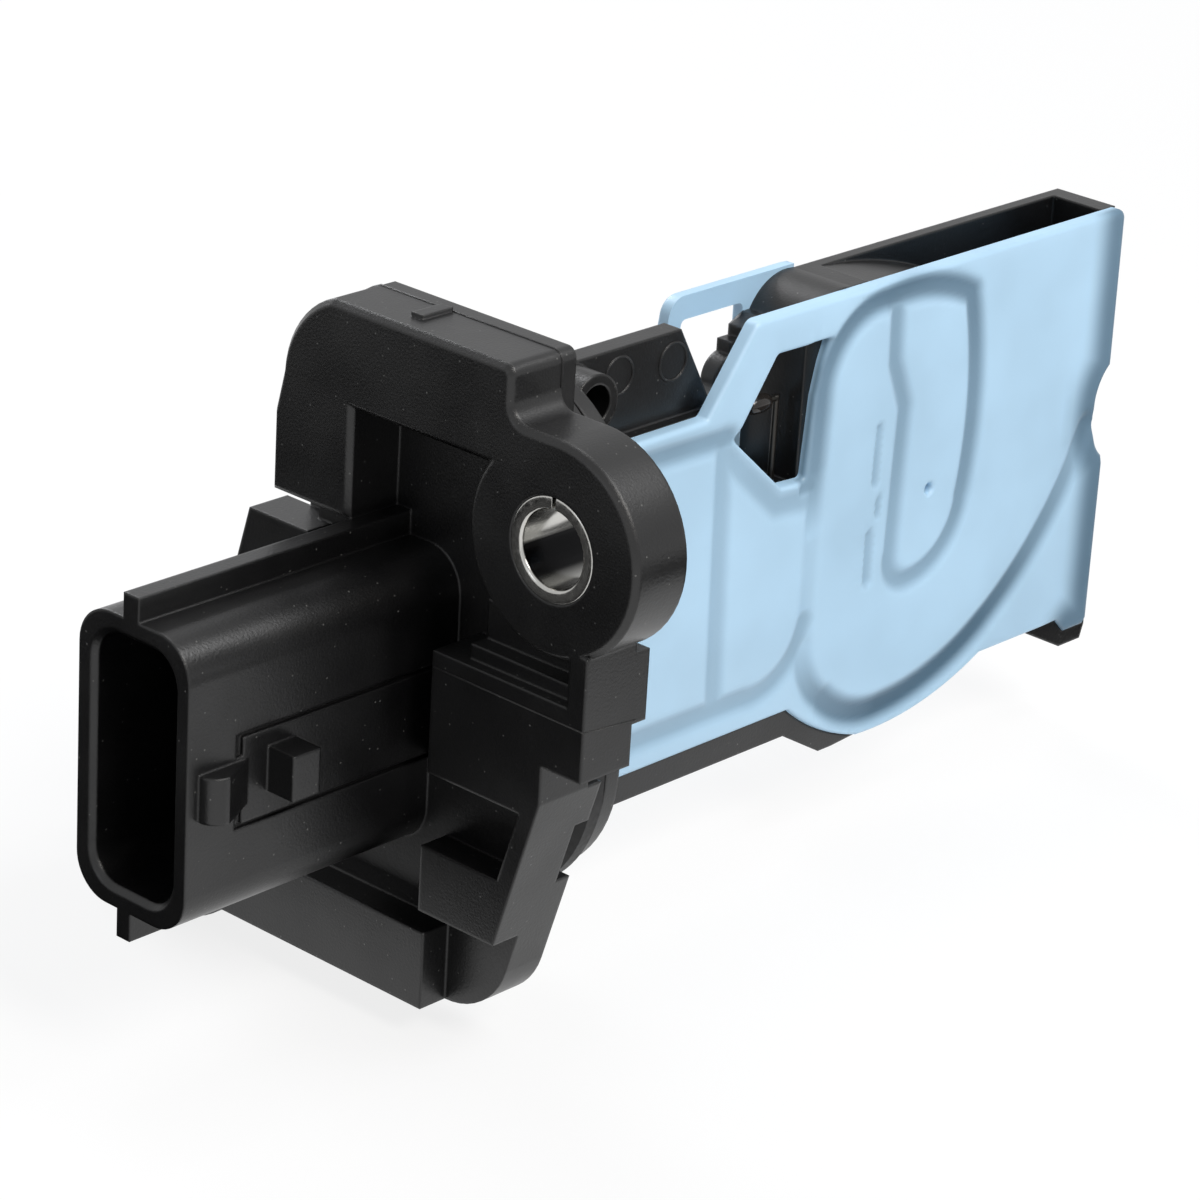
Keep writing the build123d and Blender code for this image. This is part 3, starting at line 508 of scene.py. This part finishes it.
# grain sizes that are finer on the real ones are drawn as coarse as they need to show
plainFinishes = {
    # zinc plated steel, rolled from strip: bright, with fine lines along the bore, and a painted dark
    # reflection in the lower bore
    "zincSteel": {"colour": "cdccc8", "metallic": 1.0, "roughness": (0.12, 0.26), "grainSize": 0.5,
                  "grainDepth": 0.0008, "stretch": (0.08, 1, 1), "paintedDarkReflection": "1c1c1d"},
    # moulded silicone rubber: smooth and dull
    "siliconeRubber": {"colour": "161617", "roughness": (0.45, 0.6), "grainSize": 0.4,
                       "grainDepth": 0.008, "ior": 1.42},
    # tin plated brass strip: soft white metal with lines along it
    "tinPlate": {"colour": "cfcdc6", "metallic": 1.0, "roughness": (0.2, 0.36), "grainSize": 0.4,
                 "grainDepth": 0.003, "stretch": (0.1, 1, 1)},
    # solder resist over woven glass cloth: glossy green with an uneven surface
    "solderResist": {"colour": "1f5a34", "roughness": (0.22, 0.34), "grainSize": 0.5,
                     "grainDepth": 0.006, "ior": 1.55},
    # moulded epoxy of chips: dull and sandy
    "mouldedEpoxy": {"colour": "202022", "roughness": (0.5, 0.62), "grainSize": 0.12,
                     "grainDepth": 0.006, "ior": 1.55},
    # polished silicon die: dark mirror
    "siliconDie": {"colour": "4a5058", "metallic": 0.6, "roughness": (0.08, 0.14), "grainSize": 0.6,
                   "grainDepth": 0.0004},
    # fired barium titanate ceramic: dull tan
    "firedCeramic": {"colour": "a5825c", "roughness": (0.4, 0.55), "grainSize": 0.1,
                     "grainDepth": 0.002, "ior": 1.6},
    # dark bead under clear glass: a wet look
    "coatedGlass": {"colour": "221f1d", "roughness": (0.06, 0.12), "grainSize": 0.8,
                    "grainDepth": 0.002, "ior": 1.5},
    # nickel plated wire, drawn: dark grey with a dull shine
    "nickelWire": {"colour": "4b4946", "metallic": 1.0, "roughness": (0.35, 0.45), "grainSize": 0.3,
                   "grainDepth": 0.002},
}


def makePlainFinish(name):
    finish = {**plainFinish, **plainFinishes[name]}
    material, tree, shader = newMaterial(name)
    place = addNode(tree, "ShaderNodeTexCoord").outputs["Object"]
    if "stretch" in finish:
        drawn = addNode(tree, "ShaderNodeMapping", {"Scale": finish["stretch"]}, {"Vector": place})
        place = drawn.outputs["Vector"]
    grain = addNode(tree, "ShaderNodeTexNoise",
                    {"Scale": 1 / (finish["grainSize"] * mm), "Detail": 3.0}, {"Vector": place})
    rough = addNode(tree, "ShaderNodeMapRange", {
        **noiseRange, "To Min": finish["roughness"][0], "To Max": finish["roughness"][1],
    }, {"Value": grain.outputs["Fac"]})
    base = Vector(hexToLinear(finish["colour"])[:3])
    darker, lighter = (tuple(base * factor) + (1.0,) for factor in finish["grainShades"])
    colour = addNode(tree, "ShaderNodeMix", {"data_type": "RGBA", 6: darker, 7: lighter},
                     {"Factor": grain.outputs["Fac"]})
    # the colour turns to a painted dark reflection where the shade attribute says
    if "paintedDarkReflection" in finish:
        amount = addNode(tree, "ShaderNodeAttribute", {"attribute_name": "shade"})
        colour = addNode(tree, "ShaderNodeMix", {"data_type": "RGBA", 7: hexToLinear(finish["paintedDarkReflection"])},
                         {"Factor": amount.outputs["Fac"], 6: colour.outputs[2]})
    eased = addNode(tree, "ShaderNodeBevel", {"samples": 4, "Radius": finish["edgeRound"] * mm})
    bump = addNode(tree, "ShaderNodeBump", {
        "Strength": finish["grainStrength"], "Distance": finish["grainDepth"] * mm,
    }, {"Height": grain.outputs["Fac"], "Normal": eased.outputs["Normal"]})
    tree.links.new(colour.outputs[2], shader.inputs["Base Color"])
    tree.links.new(rough.outputs["Result"], shader.inputs["Roughness"])
    tree.links.new(bump.outputs["Normal"], shader.inputs["Normal"])
    shader.inputs["Metallic"].default_value = finish["metallic"]
    if "ior" in finish:
        shader.inputs["IOR"].default_value = finish["ior"]
    return material


finishes = {"black_pbt": makeBlackPbt(), "blue_pbt": makeBluePbt()}
plainSlots = {
    "bush_steel": "zincSteel",
    "seal_rubber": "siliconeRubber",
    "terminal_tin": "tinPlate",
    "board_green": "solderResist",
    "chip_black": "mouldedEpoxy",
    "carrier_epoxy": "mouldedEpoxy",
    "silicon": "siliconDie",
    "capacitor_ceramic": "firedCeramic",
    "bead_glass": "coatedGlass",
    "lead_nickel": "nickelWire",
}
for slotName, finishName in plainSlots.items():
    finishes[slotName] = makePlainFinish(finishName)
print("materials made:", len(finishes))


# covers: moulded plates with soft grooves and rolled edges, outlined in X and Z
coverShape = {
    "thickness": 1.15,
    "leastThickness": 0.1,
    "outer": 4.05,  # the outer face's distance from the blade's middle plane
    "left": 10.8,
    "bottom": -12.65,
    "rootTop": 14.0,
    "top": 20.5,
    "tipX": 75.45,
    "frontSlant": (25.5, 30.4),
    "backSlant": (27.4, 28.6),
    "backTop": 20.8,
    "backDrop": 19.6,  # the back cover's top right of its crest
    "crestX": 42.4,
    "frontCorner": 0.9,
    "backCorner": 1.6,
    "tipCorner": 0.8,
    "slantCorner": 0.5,
    "footCorner": 0.6,
    "pinHole": (52.7, 2.0, 0.42, 12),  # X, Z, radius and points
    # relief
    "edgeRound": 0.4,
    "grooveDepth": 0.4,
    "grooveFlat": 0.25,  # share of a groove's half width that is flat
    "ledgeFade": 0.7,
    "ledgeDepth": 0.95,  # share of the grooves' depth
    # painted shade over the ledge
    "ledgeDark": 0.55,
    # painted shade in the slots
    "slotDark": 0.3,
    "slotSteepness": 4,
    "endLineFrom": 73.2,  # the end's edge is the outline right of this, up to endLineTop below the top
    "endLineTop": 0.7,
    "endBandFrom": 69.5,  # the dark band along the end's edge lies right of this
    "endBand": 4.6,
    "endFlat": 0.22,
    "endDrop": 0.12,
    "endDark": 0.78,
    # mesh points: how far apart, and where they are close together
    "outlineSpacing": 0.6,
    "holeSpacing": 0.45,
    "edgeSpacing": 0.5,
    "fine": 0.34,
    "coarse": 1.36,
    "grooveReach": 1.9,
    "slotReach": 0.9,
    "endFrom": 70.5,
    "endReach": 4.9,
    "edgeClear": 0.12,
    "edgeInsets": (0.05, 0.14, 0.26),
    "edgeKept": 0.85,  # share of its inset that a point over the rolled edge keeps from every rim
    "sameSpot": 1e-5,
}

# the bulge below the duct, the lug and the nick in the end
coverFoot = linePath(
    (37.4, coverShape["bottom"]),
    ((42.4, -15.9), (46.2, -17.3)),
    ((54.4, -16.75), (61.3, -14.4)),
    (71.6, -14.4),
    (72.9, -15.7),
    (75.83, -15.7),
    (75.8, -0.8),
    ((74.5, 0.8), (74.2, 2.8)),
    ((74.4, 5.6), (75.62, 7.2)),
)

# depth share, half width, darkness at the start and the end, and centre line of each groove; the darkness is
# partly painted shade, partly the black walls under the thin plate
coverGrooves = [
    (1.0, 1.7, (0.35, 0.85), linePath((73.0, 2.4), (71.6, -0.4), ((68.0, -5.5), (61.3, -11.4)))),
    (1.0, 1.75, (0.85, 0.92), linePath((61.3, -11.4), ((55.9, -14.1), (48.8, -15.4)))),
    (1.0, 1.75, (0.92, 0.7), linePath((48.8, -15.4), ((44.6, -14.8), (41.6, -12.9)))),
    (0.9, 1.5, (0.7, 0.14), linePath((41.6, -12.9), ((39.4, -10.6), (38.7, -7.9)))),
    (0.5, 1.3, (0.14, 0.12), linePath((38.7, -7.9), (38.7, 2.0))),
    (0.9, 1.3, (0.12, 0.6), linePath((38.7, 2.0), (38.7, 7.0))),
    (1.0, 1.45, (0.6, 0.8), linePath((38.7, 7.0), (38.9, 12.6), ((41.1, 17.4), (46.0, 19.1)))),
    (1.0, 1.55, (0.8, 0.72), linePath((46.0, 19.1), ((51.4, 19.0), (56.2, 17.4)))),
    (1.0, 1.45, (0.72, 0.55), linePath((56.2, 17.4), ((57.6, 9.0), (57.0, 0.5)))),
    (0.9, 1.35, (0.55, 0.4), linePath(
        (57.0, 0.5), ((54.8, -3.7), (50.9, -5.2)), ((49.2, -4.6), (48.5, -2.5)),
    )),
    (0.85, 1.25, (0.4, 0.5), linePath((48.5, -2.5), (48.8, 9.8), (47.2, 13.6), (46.9, 19.0))),
    (0.8, 1.35, (0.5, 0.5), linePath((12.0, 12.4), (28.2, 12.0))),
    (0.8, 1.3, (0.3, 0.3), linePath((27.6, 12.2), (28.4, -10.1))),
    (0.8, 1.35, (0.38, 0.38), linePath((12.0, -10.1), (31.6, -10.1), ((36.2, -9.1), (38.6, -5.4)))),
]

# only the front cover has this groove, below its window
windowGroove = (0.6, 1.5, (0.3, 0.3), linePath((28.2, 10.4), (34.3, 5.0), (38.6, 4.6)))

# between the window and the groove to its right the cover stays thin, and is painted as dark as the groove,
# as shade
coverLedge = [(37.2, 5.4), (38.7, 5.4), (38.9, 12.8), (39.8, 15.4), (40.5, 16.6), (39.4, 17.0), (37.2, 17.0)]

# small slots beside the loop: half width, depth and centre line of each; each is also painted darker, as
# shade in a recess
coverSlots = [
    (0.45, 0.22, [(45.9, 8.7), (45.8, 4.1)]),
    (0.4, 0.16, [(46.4, 2.7), (46.4, 1.5)]),
    (0.6, 0.26, [(45.7, -0.2), (45.8, -4.0)]),
]

# holes in the covers, with the radius of each corner that is rounded
frontWindow = roundCorners([
    (39.5, 17.3), (38.8, 15.4), (38.2, 12.8), (37.7, 6.3), (34.6, 6.5), (28.9, 11.5), (33.1, 17.4),
], {0: 0.3, 3: 0.4, 4: 0.4, 5: 0.4, 6: 0.5})
backWindow = roundCorners([
    (29.8, 18.9), (36.7, 18.9), (36.7, 6.5), (34.6, 6.5), (28.9, 11.5),
], {0: 0.5, 1: 0.5, 2: 0.5, 3: 0.4, 4: 0.4})
loopPort = roundCorners([
    (50.3, 0.0), (54.9, 0.0), (54.9, 4.4), (50.3, 4.4),
], {0: 1.0, 1: 1.0, 2: 1.0, 3: 1.0})


def coverOutline(slant, top, corner, lowerRight=None):
    # lowerRight: the height right of the crest, where that is lower
    shape = coverShape
    path = list(coverFoot)
    if lowerRight:
        path += [(shape["tipX"], lowerRight), (shape["crestX"], lowerRight), (shape["crestX"], top)]
    else:
        path += [(shape["tipX"], top)]
    path += [(slant[1], top), (slant[0], shape["rootTop"])]
    path += [(shape["left"], shape["rootTop"]), (shape["left"], shape["bottom"])]
    last = len(path) - 1
    return roundCorners(path, {
        0: shape["footCorner"],
        len(coverFoot): shape["tipCorner"],
        last - 3: corner,
        last - 2: shape["slantCorner"],
    })


def coverGrid(rims, grooves, slots):
    # staggered points that are close together only near the grooves, the slots and the end
    shape = coverShape
    fine = shape["fine"]
    x0, z0 = np.min(rims[0], axis=0)
    x1, z1 = np.max(rims[0], axis=0)
    grid = np.array([
        (x0 + column * fine + (fine / 2 if row % 2 else 0), z0 + row * fine, row, column)
        for row in range(int((z1 - z0) / fine) + 1)
        for column in range(int((x1 - x0) / fine) + 1)
    ])
    grid = grid[isOnPlate(grid[:, :2], rims)]
    flat = grid[:, :2]
    rimGap = nearestGap(flat, rims, True)
    every = round(shape["coarse"] / fine)
    wanted = (grid[:, 2] % every == 0) & (grid[:, 3] % every == 0)
    wanted |= nearestGap(flat, [groove[3] for groove in grooves]) < shape["grooveReach"]
    wanted |= nearestGap(flat, [slot[2] for slot in slots]) < shape["slotReach"]
    wanted |= (flat[:, 0] > shape["endFrom"]) & (rimGap < shape["endReach"])
    wanted &= rimGap > shape["edgeRound"] + shape["edgeClear"]
    return [tuple(point) for point in flat[wanted]]


def rolledEdgePoints(rims):
    # rows of points over the rolled edges
    points = []
    for rim in rims:
        ring = np.array(densify(rim, coverShape["edgeSpacing"]))
        run = np.roll(ring, -1, 0) - np.roll(ring, 1, 0)
        normal = np.stack([-run[:, 1], run[:, 0]], 1) / np.hypot(*run.T)[:, None]
        for inset in (*coverShape["edgeInsets"], coverShape["edgeRound"]):
            for sign in (1, -1):
                moved = ring + sign * inset * normal
                clear = nearestGap(moved, rims, True) > coverShape["edgeKept"] * inset
                points += [tuple(point) for point in moved[clear & isOnPlate(moved, rims)]]
    return points


def plateTriangles(rims, points):
    # triangles between the rims and the points, and only the points that a triangle uses
    edges, rimPoints = [], []
    for rim in rims:
        first = len(rimPoints)
        rimPoints += rim
        edges += [(first + i, first + (i + 1) % len(rim)) for i in range(len(rim))]
    cloud = [Vector(point) for point in rimPoints + points]
    verts, _, faces, _, _, _ = delaunay_2d_cdt(cloud, edges, [], 0, coverShape["sameSpot"])
    flat = np.array([tuple(vert) for vert in verts])
    faces = np.array([tuple(face) for face in faces])
    faces = faces[isOnPlate(flat[faces].mean(1), rims)]
    kept, faces = np.unique(faces, return_inverse=True)
    return flat[kept], faces.reshape(-1, 3)


def coverRelief(flat, rims, grooves, slots, ledge):
    # how far each point of the outer face lies below the plate's top, and how dark its colour is: in the
    # grooves, the ledge and the slots that darkness is painted shade, in the grooves partly also the black
    # walls under the plate
    shape = coverShape
    roll = np.clip(shape["edgeRound"] - nearestGap(flat, rims, True), 0, shape["edgeRound"])
    drop = shape["edgeRound"] - np.sqrt(shape["edgeRound"] ** 2 - roll ** 2)
    sunk, dark = np.zeros(len(flat)), np.zeros(len(flat))
    for share, half, (darkFirst, darkLast), path in grooves:
        gap, place = distanceTo(flat, path, withPlace=True)
        hill = easedHill(gap / half, shape["grooveFlat"])
        sunk = np.maximum(sunk, share * hill)
        dark = np.maximum(dark, (darkFirst + (darkLast - darkFirst) * place) * hill)
    if ledge:
        gap = np.where(isInside(flat, ledge), 0, distanceTo(flat, ledge, True))
        hill = easedHill(gap / shape["ledgeFade"])
        # painted shade over the ledge
        sunk = np.maximum(sunk, shape["ledgeDepth"] * hill)
        dark = np.maximum(dark, shape["ledgeDark"] * hill)
    drop = drop + shape["grooveDepth"] * sunk
    for half, depth, path in slots:
        hill = 1 - np.clip(distanceTo(flat, path) / half, 0, 1) ** shape["slotSteepness"]
        drop = drop + depth * hill
        # painted shade down in the slot
        dark = np.maximum(dark, shape["slotDark"] * hill)
    endLine = [
        (x, z) for x, z in rims[0]
        if x > shape["endLineFrom"] and z < shape["top"] - shape["endLineTop"]
    ]
    endLine.sort(key=lambda point: point[1])
    gap = np.where(flat[:, 0] > shape["endBandFrom"], distanceTo(flat, endLine), farOff)
    hill = easedHill(gap / shape["endBand"], shape["endFlat"])
    drop = drop + shape["endDrop"] * hill
    dark = np.maximum(dark, shape["endDark"] * hill)
    return np.minimum(drop, shape["thickness"] - shape["leastThickness"]), dark


def makeCover(name, outline, holes, side, grooves, slots=(), ledge=None):
    shape = coverShape
    rims = [densify(outline, shape["outlineSpacing"])]
    rims += [densify(hole, shape["holeSpacing"]) for hole in holes]
    points = coverGrid(rims, grooves, slots) + rolledEdgePoints(rims)
    flat, faces = plateTriangles(rims, points)
    drop, dark = coverRelief(flat, rims, grooves, slots, ledge)
    outer = side * (shape["outer"] - drop)
    inner = side * (shape["outer"] - shape["thickness"])
    count = len(flat)
    coords = [(x * mm, y * mm, z * mm) for (x, z), y in zip(flat, outer)]
    coords += [(x * mm, inner * mm, z * mm) for x, z in flat]
    owners = {}
    for a, b, c in faces:
        for edge in ((a, b), (b, c), (c, a)):
            owners.setdefault(tuple(sorted(edge)), []).append(edge)
    # with X to the right and Z up, a face wound left points to -Y
    turn = 1 if side < 0 else -1
    allFaces = [tuple(int(i) for i in face[::turn]) for face in faces]
    allFaces += [tuple(int(i) + count for i in face[::-turn]) for face in faces]
    # an edge of one face only lies on a rim, and gets a wall
    for edges in owners.values():
        if len(edges) == 1:
            a, b = (int(i) for i in edges[0])
            wall = (b, a, a + count, b + count)
            allFaces.append(wall[::turn])
    mesh = bpy.data.meshes.new(name)
    mesh.from_pydata(coords, [], allFaces)
    # how much painted darkness each outer point gets
    attribute = mesh.attributes.new("groove", "FLOAT", "POINT")
    attribute.data.foreach_set("value", np.concatenate([dark, np.zeros(count)]))
    smoothMesh(mesh, "blue_pbt")
    print(name, "faces:", len(mesh.polygons))
    return mesh


def makeCovers():
    shape = coverShape
    frontOutline = coverOutline(shape["frontSlant"], shape["top"], shape["frontCorner"])
    frontHoles = [frontWindow, circlePoints(*shape["pinHole"])]
    frontGrooves = coverGrooves + [windowGroove]
    mesh = makeCover("frontCover", frontOutline, frontHoles, -1, frontGrooves, coverSlots, coverLedge)
    newPiece("frontCover", mesh, "blue_pbt", "front_cover")
    backOutline = coverOutline(shape["backSlant"], shape["backTop"], shape["backCorner"], shape["backDrop"])
    mesh = makeCover("backCover", backOutline, [backWindow, loopPort], 1, coverGrooves)
    newPiece("backCover", mesh, "blue_pbt", "back_cover")


makeCovers()


# split bushes: rolled steel strip with eased rims and a slit on top
bushShape = {
    "bore": 2.75,
    "outer": 3.75,
    "front": -6.2,
    "rear": 0.0,
    "boreRound": 0.3,
    "outerRound": 0.14,
    "roundSteps": 5,
    "slit": 0.4,
    "segments": 128,
    "smoothAngle": 60,
    # the bore's lower half shows a painted dark reflection up to a straight line, and shines again at the
    # very bottom:
    # degrees from the top where the painted dark reflection starts, is full, starts to fade and ends
    "darkReflectionTurns": (95, 99, 150, 186),
    "boreReach": 0.02,
    "places": {"upperBush": (-18.2, 16.4, "upper_bush"), "lowerBush": (18.2, -16.4, "lower_bush")},
}


def bushProfile():
    # closed profile of (radius, x): bore side, rear, outer side and front, with round corners
    shape = bushShape
    steps = shape["roundSteps"]
    bore, outer = shape["bore"] + shape["boreRound"], shape["outer"] - shape["outerRound"]
    corners = [
        (bore, shape["rear"] - shape["boreRound"], shape["boreRound"], math.pi),
        (outer, shape["rear"] - shape["outerRound"], shape["outerRound"], math.pi / 2),
        (outer, shape["front"] + shape["outerRound"], shape["outerRound"], 0),
        (bore, shape["front"] + shape["boreRound"], shape["boreRound"], -math.pi / 2),
    ]
    profile = []
    for r, x, radius, first in corners:
        for i in range(steps + 1):
            turn = first - i * math.pi / 2 / steps
            profile.append((r + radius * math.cos(turn), x + radius * math.sin(turn)))
    return profile


def makeBush(name, y, z, nodeName):
    shape = bushShape
    verts, faces = lathe(bushProfile(), shape["segments"], (y, z), shape["slit"] / 2 / shape["outer"])
    mesh = turnedMesh(name, verts, faces, "bush_steel", shape["smoothAngle"])
    spots = np.array([tuple(vert.co) for vert in mesh.vertices]) / mm - (0, y, z)
    turn = np.degrees(np.arctan2(spots[:, 1], spots[:, 2]))
    inBore = np.hypot(spots[:, 1], spots[:, 2]) < shape["bore"] + shape["boreReach"]
    amount = np.interp(turn, shape["darkReflectionTurns"], (0, 1, 1, 0))
    # painted dark reflection: how much of it each point of the bore gets
    attribute = mesh.attributes.new("shade", "FLOAT", "POINT")
    attribute.data.foreach_set("value", (amount * inBore).astype(np.float32))
    newPiece(name, mesh, "bush_steel", nodeName)


for name, (y, z, nodeName) in bushShape["places"].items():
    makeBush(name, y, z, nodeName)


# glass bead of the thermistor, with round ends where its leads go in
beadShape = {
    "left": 33.2,
    "right": 35.6,
    "radius": 0.75,
    "endRadius": 0.26,
    "y": -1.2,
    "z": 12.45,
    "rows": 16,
    "bluntness": 0.6,  # 1 is an oval, and less is nearer to a barrel
    "segments": 40,
}


def makeBead():
    shape = beadShape
    half = (shape["right"] - shape["left"]) / 2
    swell = shape["radius"] - shape["endRadius"]
    profile = [(0.0, shape["left"])]
    for row in range(1, shape["rows"]):
        turn = math.pi * row / shape["rows"]
        radius = shape["endRadius"] + swell * math.sin(turn) ** shape["bluntness"]
        profile.append((radius, shape["left"] + half * (1 - math.cos(turn))))
    profile.append((0.0, shape["right"]))
    verts, faces = lathe(profile, shape["segments"], (shape["y"], shape["z"]))
    mesh = turnedMesh("thermistorBead", verts, faces, "bead_glass")
    newPiece("thermistorBead", mesh, "bead_glass", "thermistor_bead")


makeBead()
print("turned pieces made")


# parting lines over the bar and the ear and on the lower block, and round ejector marks on the arm:
# fine lines that lie on the surface, where seamHalf, blockHalf and markHalf are half a line's width
lineShape = {
    "seamX": -1.35,
    "seamHalf": 0.09,
    "barFoot": (8.0, 21.5),
    "barBend": (6.3, 25.9),
    "barTop": (3.4, 28.0),
    "earTop": (-13.05, 28.0),
    "earBend": (-13.62, 27.77),
    "earSide": (-13.85, 27.2),
    "earFoot": (-13.85, 25.5),
    "barSteps": 10,
    "earSteps": 5,
    "blockSeam": [(-6.2, -7.9, 4.55), (-6.2, -22.0, 4.45), (-1.0, -22.0, 3.95)],
    "blockHalf": 0.06,
    "marks": [(17.8, 18.6), (23.6, 18.4)],
    "markRadius": 1.45,
    "markHalf": 0.11,
    "markSteps": 48,
    "armFront": -1.9,
    "roundness": 2,
}


def fineLine(name, points, half, closed=False):
    curve = bpy.data.curves.new(name, "CURVE")
    curve.dimensions = "3D"
    curve.bevel_depth = half * mm
    curve.bevel_resolution = lineShape["roundness"]
    curve.use_fill_caps = not closed
    line = curve.splines.new("POLY")
    line.points.add(len(points) - 1)
    for spot, (x, y, z) in zip(line.points, points):
        spot.co = (x * mm, y * mm, z * mm, 1)
    line.use_cyclic_u = closed
    curve.materials.append(finishes["black_pbt"])
    newPiece(name, curve, "black_pbt")


def makeLines():
    shape = lineShape
    seam = [shape["barFoot"]]
    seam += arcPoints(shape["barFoot"], shape["barBend"], shape["barTop"], shape["barSteps"])[:-1]
    seam += [shape["barTop"], shape["earTop"]]
    seam += arcPoints(shape["earTop"], shape["earBend"], shape["earSide"], shape["earSteps"])
    seam += [shape["earFoot"]]
    fineLine("barSeam", [(shape["seamX"], y, z) for y, z in seam], shape["seamHalf"])
    fineLine("blockSeam", shape["blockSeam"], shape["blockHalf"])
    for number, (markX, markZ) in enumerate(shape["marks"], start=1):
        circle = circlePoints(markX, markZ, shape["markRadius"], shape["markSteps"])
        ring = [(x, shape["armFront"], z) for x, z in circle]
        fineLine(f"ejectorMark{number}", ring, shape["markHalf"], True)


makeLines()
print("seams and marks made")

for item in frame["record"]["subparts"]:
    node = nodes[item["node"]]
    node.data.materials.clear()
    node.data.materials.append(finishes[item["material_slot"]])
print("finishes on CAD nodes:", len(nodes))

makeCamera()
makeFloor()
makeBackdrop()
makeLamps()
print("camera and studio made")
